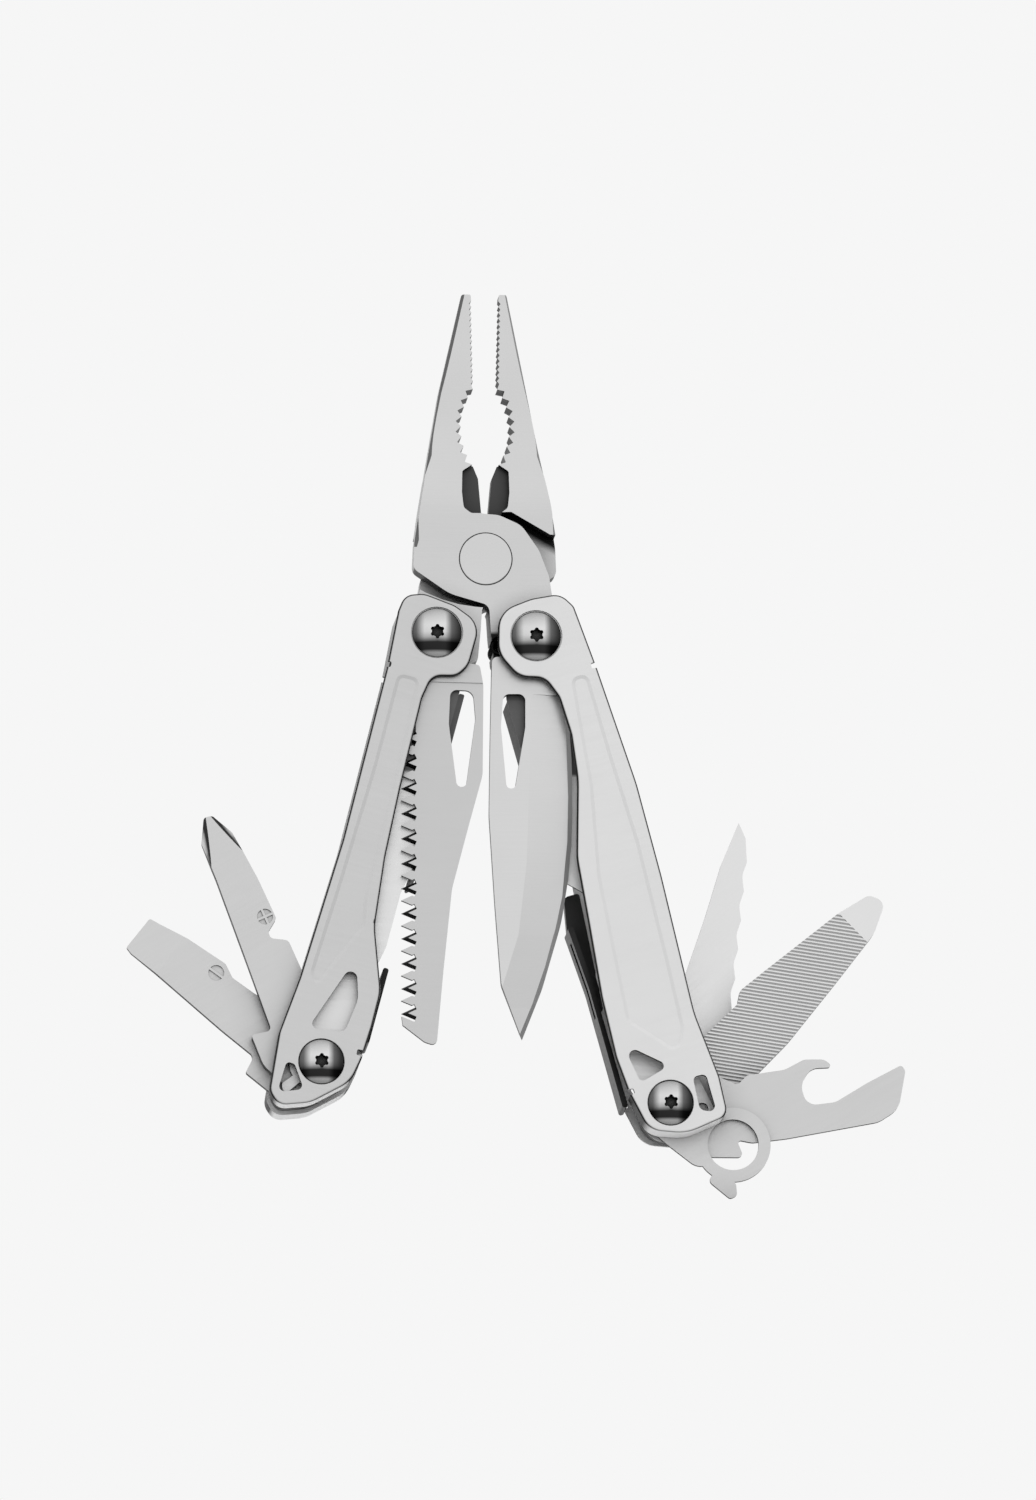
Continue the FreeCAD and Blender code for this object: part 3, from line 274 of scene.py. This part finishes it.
def finish_nodes():
    """One finish per kind of piece."""
    slanted = math.radians(15)
    fanned = math.radians(40)
    plate = {"grain": 0.05, "grain_scale": 3000, "edge_level": 0.01, "pits": 0.25, "recess": 0.4,
             "reach": 0.004, "edge_part": (lower_rim, 0.9)}
    # painted light: the right handle's plates get a lighter grey than the left's, the same steel lit more
    # brightly
    plate_left = steel("plate_left_satin_shaded", 0.68, 0.42, -slanted, **plate)
    plate_right = steel("plate_right_satin_lit", 0.82, 0.42, slanted, **plate)
    jaw = steel("jaw_brushed", 0.68, 0.36, grain=0.16, grain_scale=2200, edge_level=0.01, recess=0.7,
                edge_part=(jaw_outer_side, 0.45), shades=(pocket_shade, spring_shade, lap_shade))
    rivet = steel("rivet_turned", 0.68, 0.30, grain=0.10, grain_scale=2200, edge_level=0.02)
    tool = steel("tool_satin", 0.70, 0.42, math.radians(30), grain=0.06, grain_scale=3000, edge_level=0.03,
                 recess=0.3)
    file_steel = steel("file_satin", 0.82, 0.36, fanned, grain=0.10, grain_scale=2600, edge_level=0.06,
                       recess=0.6)
    serrated = steel("serrated_ground", 0.82, 0.36, fanned, grain=0.10, grain_scale=2600, recess=0.6)
    knife = steel("knife_ground", 0.73, 0.36, grain_scale=2400, edge_level=0.02, recess=0.1,
                  ground_level=(0.78, 0.99))
    saw = steel("saw_satin", 0.65, 0.40, grain=0.08, grain_scale=2600, edge_level=0.01, recess=0.4)
    inner = steel("liner_satin", 0.88, 0.42, grain=0.10, grain_scale=2200, edge_level=0.02, recess=0.2,
                  shades=(liner_shade,))
    spine = steel("spine_dark", 0.12, 0.50, grain=0.15, grain_scale=2200, edge_level=0.07, recess=0.5)
    spring = steel("spring_black", 0.04, 0.35, grain=0.15, grain_scale=2200, edge_level=0.02)
    coil = steel("coil_black", 0.03, 0.40, grain=0.15, grain_scale=2200, edge_level=0.02)
    screw = steel("screw_polished", 0.70, 0.20, grain=0.02, grain_scale=1500, edge_level=None, recess=4.0,
                  reach=0.003, shades=(dome_shade,))
    clip = steel("clip_satin", 0.66, 0.36, slanted, grain_scale=2200, edge_level=0.06)
    axle = steel("axle_turned", 0.35, 0.35, grain=0.10, grain_scale=2200, edge_level=0.10)
    finishes = {
        "front_jaw": jaw, "rear_jaw": jaw, "jaw_rivet": rivet, "jaw_spring": coil, "pocket_clip": clip,
        "saw_blade": saw, "knife_blade": knife, "serrated_blade": serrated, "wood_file": file_steel,
        "phillips_driver": tool, "flat_driver": tool, "small_driver": tool, "lanyard_ring": tool,
        "bottle_opener": tool, "left_front_plate": plate_left, "left_back_plate": plate_left,
        "right_front_plate": plate_right, "right_back_plate": plate_right,
    }
    endings = {"screws": screw, "liner": inner, "tongue": inner, "_spine": spine, "back_spring": spring,
               "axle": axle, "washers": axle}
    for name, obj in nodes.items():
        by_ending = [material for ending, material in endings.items() if name.endswith(ending)]
        obj.data.materials.clear()
        obj.data.materials.append(finishes[name] if name in finishes else by_ending[0])


# ---- stage ----
def pale_floor(z):
    """Pale floor, clear from below, where the picture is taken from, and clear in the steel's reflections."""
    bpy.ops.mesh.primitive_plane_add(size=6.0, location=(0, 0, z))
    floor = bpy.context.object
    floor.name = "floor"
    mat, tree, bsdf = new_material("floor_pale")
    bsdf.inputs["Base Color"].default_value = grey(0.90)
    bsdf.inputs["Roughness"].default_value = 0.8
    below = add(tree, "ShaderNodeNewGeometry").outputs["Backfacing"]
    mirrored = add(tree, "ShaderNodeLightPath").outputs["Is Glossy Ray"]
    hidden = math_node(tree, "MAXIMUM", below, mirrored)
    clear = add(tree, "ShaderNodeBsdfTransparent").outputs[0]
    both = add(tree, "ShaderNodeMixShader", {0: hidden, 1: bsdf.outputs[0], 2: clear}).outputs[0]
    tree.links.new(both, tree.nodes["Material Output"].inputs[0])
    floor.data.materials.append(mat)


def studio_world():
    """Even pale backdrop for the camera; reflections show a bright room with duller sides and floor."""
    world = bpy.data.worlds.new("studio")
    bpy.context.scene.world = world
    world.use_nodes = True
    tree = world.node_tree
    tree.nodes.clear()
    out = tree.nodes.new("ShaderNodeOutputWorld")
    direction = add(tree, "ShaderNodeTexCoord").outputs["Generated"]
    axes = add(tree, "ShaderNodeSeparateXYZ", {0: direction})
    upward, sideways = (math_node(tree, "MULTIPLY_ADD", axes.outputs[axis], 0.5, 0.5) for axis in (2, 0))
    room = ramp(tree, upward, [(0.0, 0.55), (0.25, 0.62), (0.44, 0.68), (0.52, 0.84), (0.75, 0.95),
                               (1.0, 0.65)])
    sides = ramp(tree, sideways, [(0.0, 0.55), (0.2, 0.9), (0.72, 1.0), (0.84, 0.7), (1.0, 0.5)])
    level = math_node(tree, "MULTIPLY", room, sides)
    lit = add(tree, "ShaderNodeBackground", {0: level, 1: 1.15}).outputs[0]
    seen = add(tree, "ShaderNodeBackground", {0: grey(0.922), 1: 1.0}).outputs[0]
    camera_ray = add(tree, "ShaderNodeLightPath").outputs["Is Camera Ray"]
    both = add(tree, "ShaderNodeMixShader", {0: camera_ray, 1: lit, 2: seen}).outputs[0]
    tree.links.new(both, out.inputs[0])


def soft_light(name, place):
    """Soft box aimed at the middle of the tool, left out of the steel's reflections."""
    data = bpy.data.lights.new(name, "AREA")
    data.shape = "RECTANGLE"
    data.size, data.size_y = 0.9, 0.7
    data.energy = 1.2
    middle = Vector((0, 0, -0.03))
    light = bpy.data.objects.new(name, data)
    light.location = place
    light.rotation_euler = (middle - Vector(place)).to_track_quat("-Z", "Y").to_euler()
    light.visible_glossy = False
    bpy.context.scene.collection.objects.link(light)


def picture_camera():
    """Long lens, slightly left of and below the tool."""
    azimuth, elevation, distance = math.radians(-4.0), math.radians(-10.0), 4.0
    frame_height = 0.2641
    target = Vector((0.0057, 0.0001, -0.03415))
    look = Vector((-math.sin(azimuth) * math.cos(elevation), math.cos(azimuth) * math.cos(elevation),
                   -math.sin(elevation)))
    data = bpy.data.cameras.new("camera")
    data.sensor_fit = "VERTICAL"
    data.sensor_height = 36.0
    data.lens = data.sensor_height * distance / frame_height
    data.clip_start, data.clip_end = 0.01, 20.0
    camera = bpy.data.objects.new("camera", data)
    camera.location = target - look * distance
    camera.rotation_euler = look.to_track_quat("-Z", "Y").to_euler()
    bpy.context.scene.collection.objects.link(camera)
    bpy.context.scene.camera = camera


finish_nodes()
pale_floor(cad_box[0][2] - 0.0002)
studio_world()
soft_light("key", (-0.3, -0.8, 0.9))
soft_light("back", (0.3, 0.9, 0.7))
picture_camera()
bpy.context.scene.view_settings.view_transform = "Standard"
